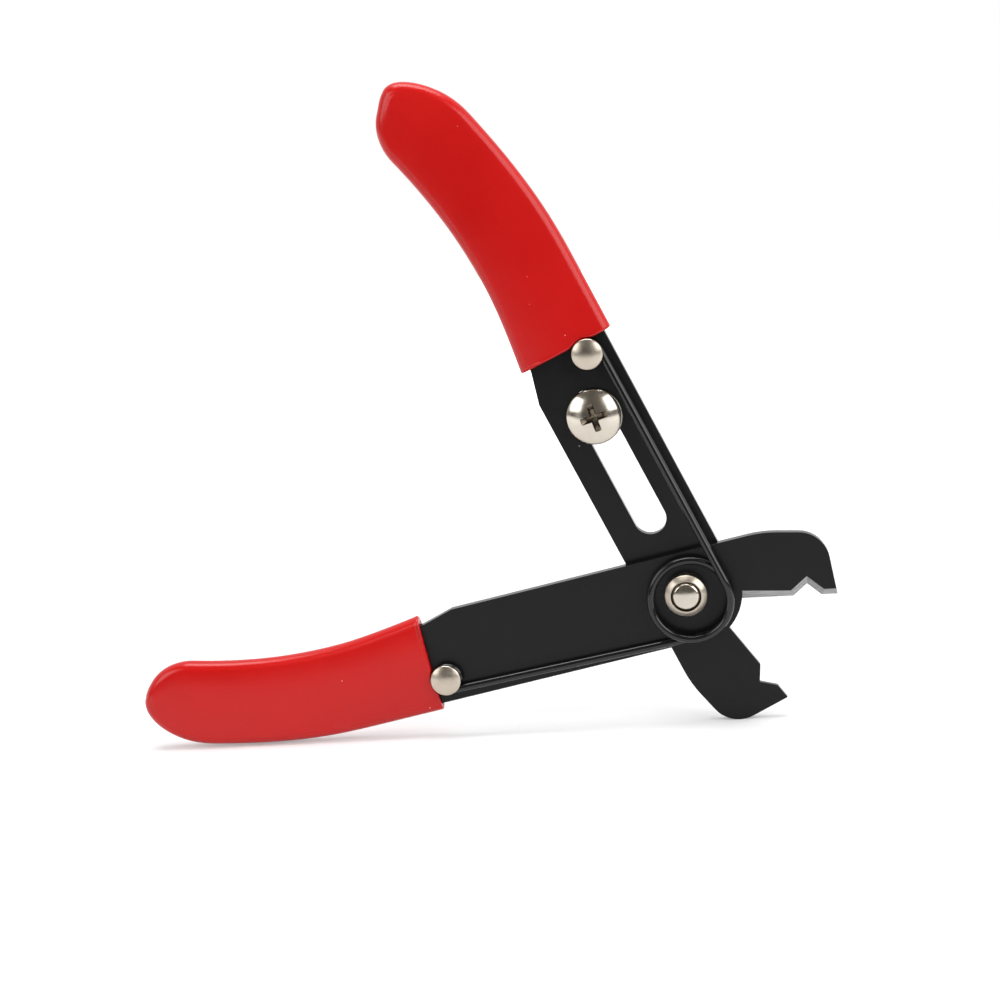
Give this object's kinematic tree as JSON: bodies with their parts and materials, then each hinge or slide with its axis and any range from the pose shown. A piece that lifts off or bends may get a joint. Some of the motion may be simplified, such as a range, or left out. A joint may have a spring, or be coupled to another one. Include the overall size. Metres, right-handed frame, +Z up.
{
  "type": "wire cutter and stripper",
  "caption": "Hand wire cutter and stripper: crossed flat plates with notched, bevelled shear jaws, a torsion spring, an adjustable stop screw in a slot and dipped vinyl grips.",
  "frame": {"origin": "on the floor line under the middle of the tool's box, as it stands open on its lower edge", "axes": "+X towards the jaws, +Y from the front plate to the rear plate along the pivot bolt, +Z up"},
  "size_m": [0.1272, 0.0132, 0.1168],
  "materials": {
    "black_paint": "satin black enamel, ground steel on the cutting bevels",
    "red_vinyl": "glossy dipped vinyl, slightly pimpled",
    "black_wire": "black oxide spring wire",
    "nickel_plate": "bright nickel plate, slightly warm"
  },
  "bodies": {
    "front_half": {"front_plate": "black_paint", "front_grip": "red_vinyl", "front_spring_rivet": "nickel_plate", "pivot_bolt": "nickel_plate", "pivot_nut": "nickel_plate", "torsion_spring": "black_wire"},
    "rear_half": {"rear_plate": "black_paint", "rear_grip": "red_vinyl", "rear_spring_rivet": "nickel_plate"},
    "stop_clamp": {"stop_lock_washer": "nickel_plate", "stop_nut": "nickel_plate"},
    "stop_bolt": {"stop_screw": "nickel_plate"}
  },
  "joints": [
    {"name": "pivot_hinge", "type": "hinge", "parent": "front_half", "child": "rear_half", "pos_m": [0.03718, -0.00118, 0.02419], "axis": [0, -1, 0], "range_deg": [0, 54], "stiffness_Nm_per_rad": 0.45, "springref_deg": -6.88, "deforming": ["torsion_spring"]},
    {"name": "stop_slide", "type": "slide", "parent": "rear_half", "child": "stop_clamp", "axis": [0.4107, 0, -0.9118], "range_m": [-0.002, 0.0036]},
    {"name": "stop_turn", "type": "hinge", "parent": "stop_clamp", "child": "stop_bolt", "pos_m": [0.02315, -0.00116, 0.05632], "axis": [0, -1, 0], "continuous": true}
  ]
}
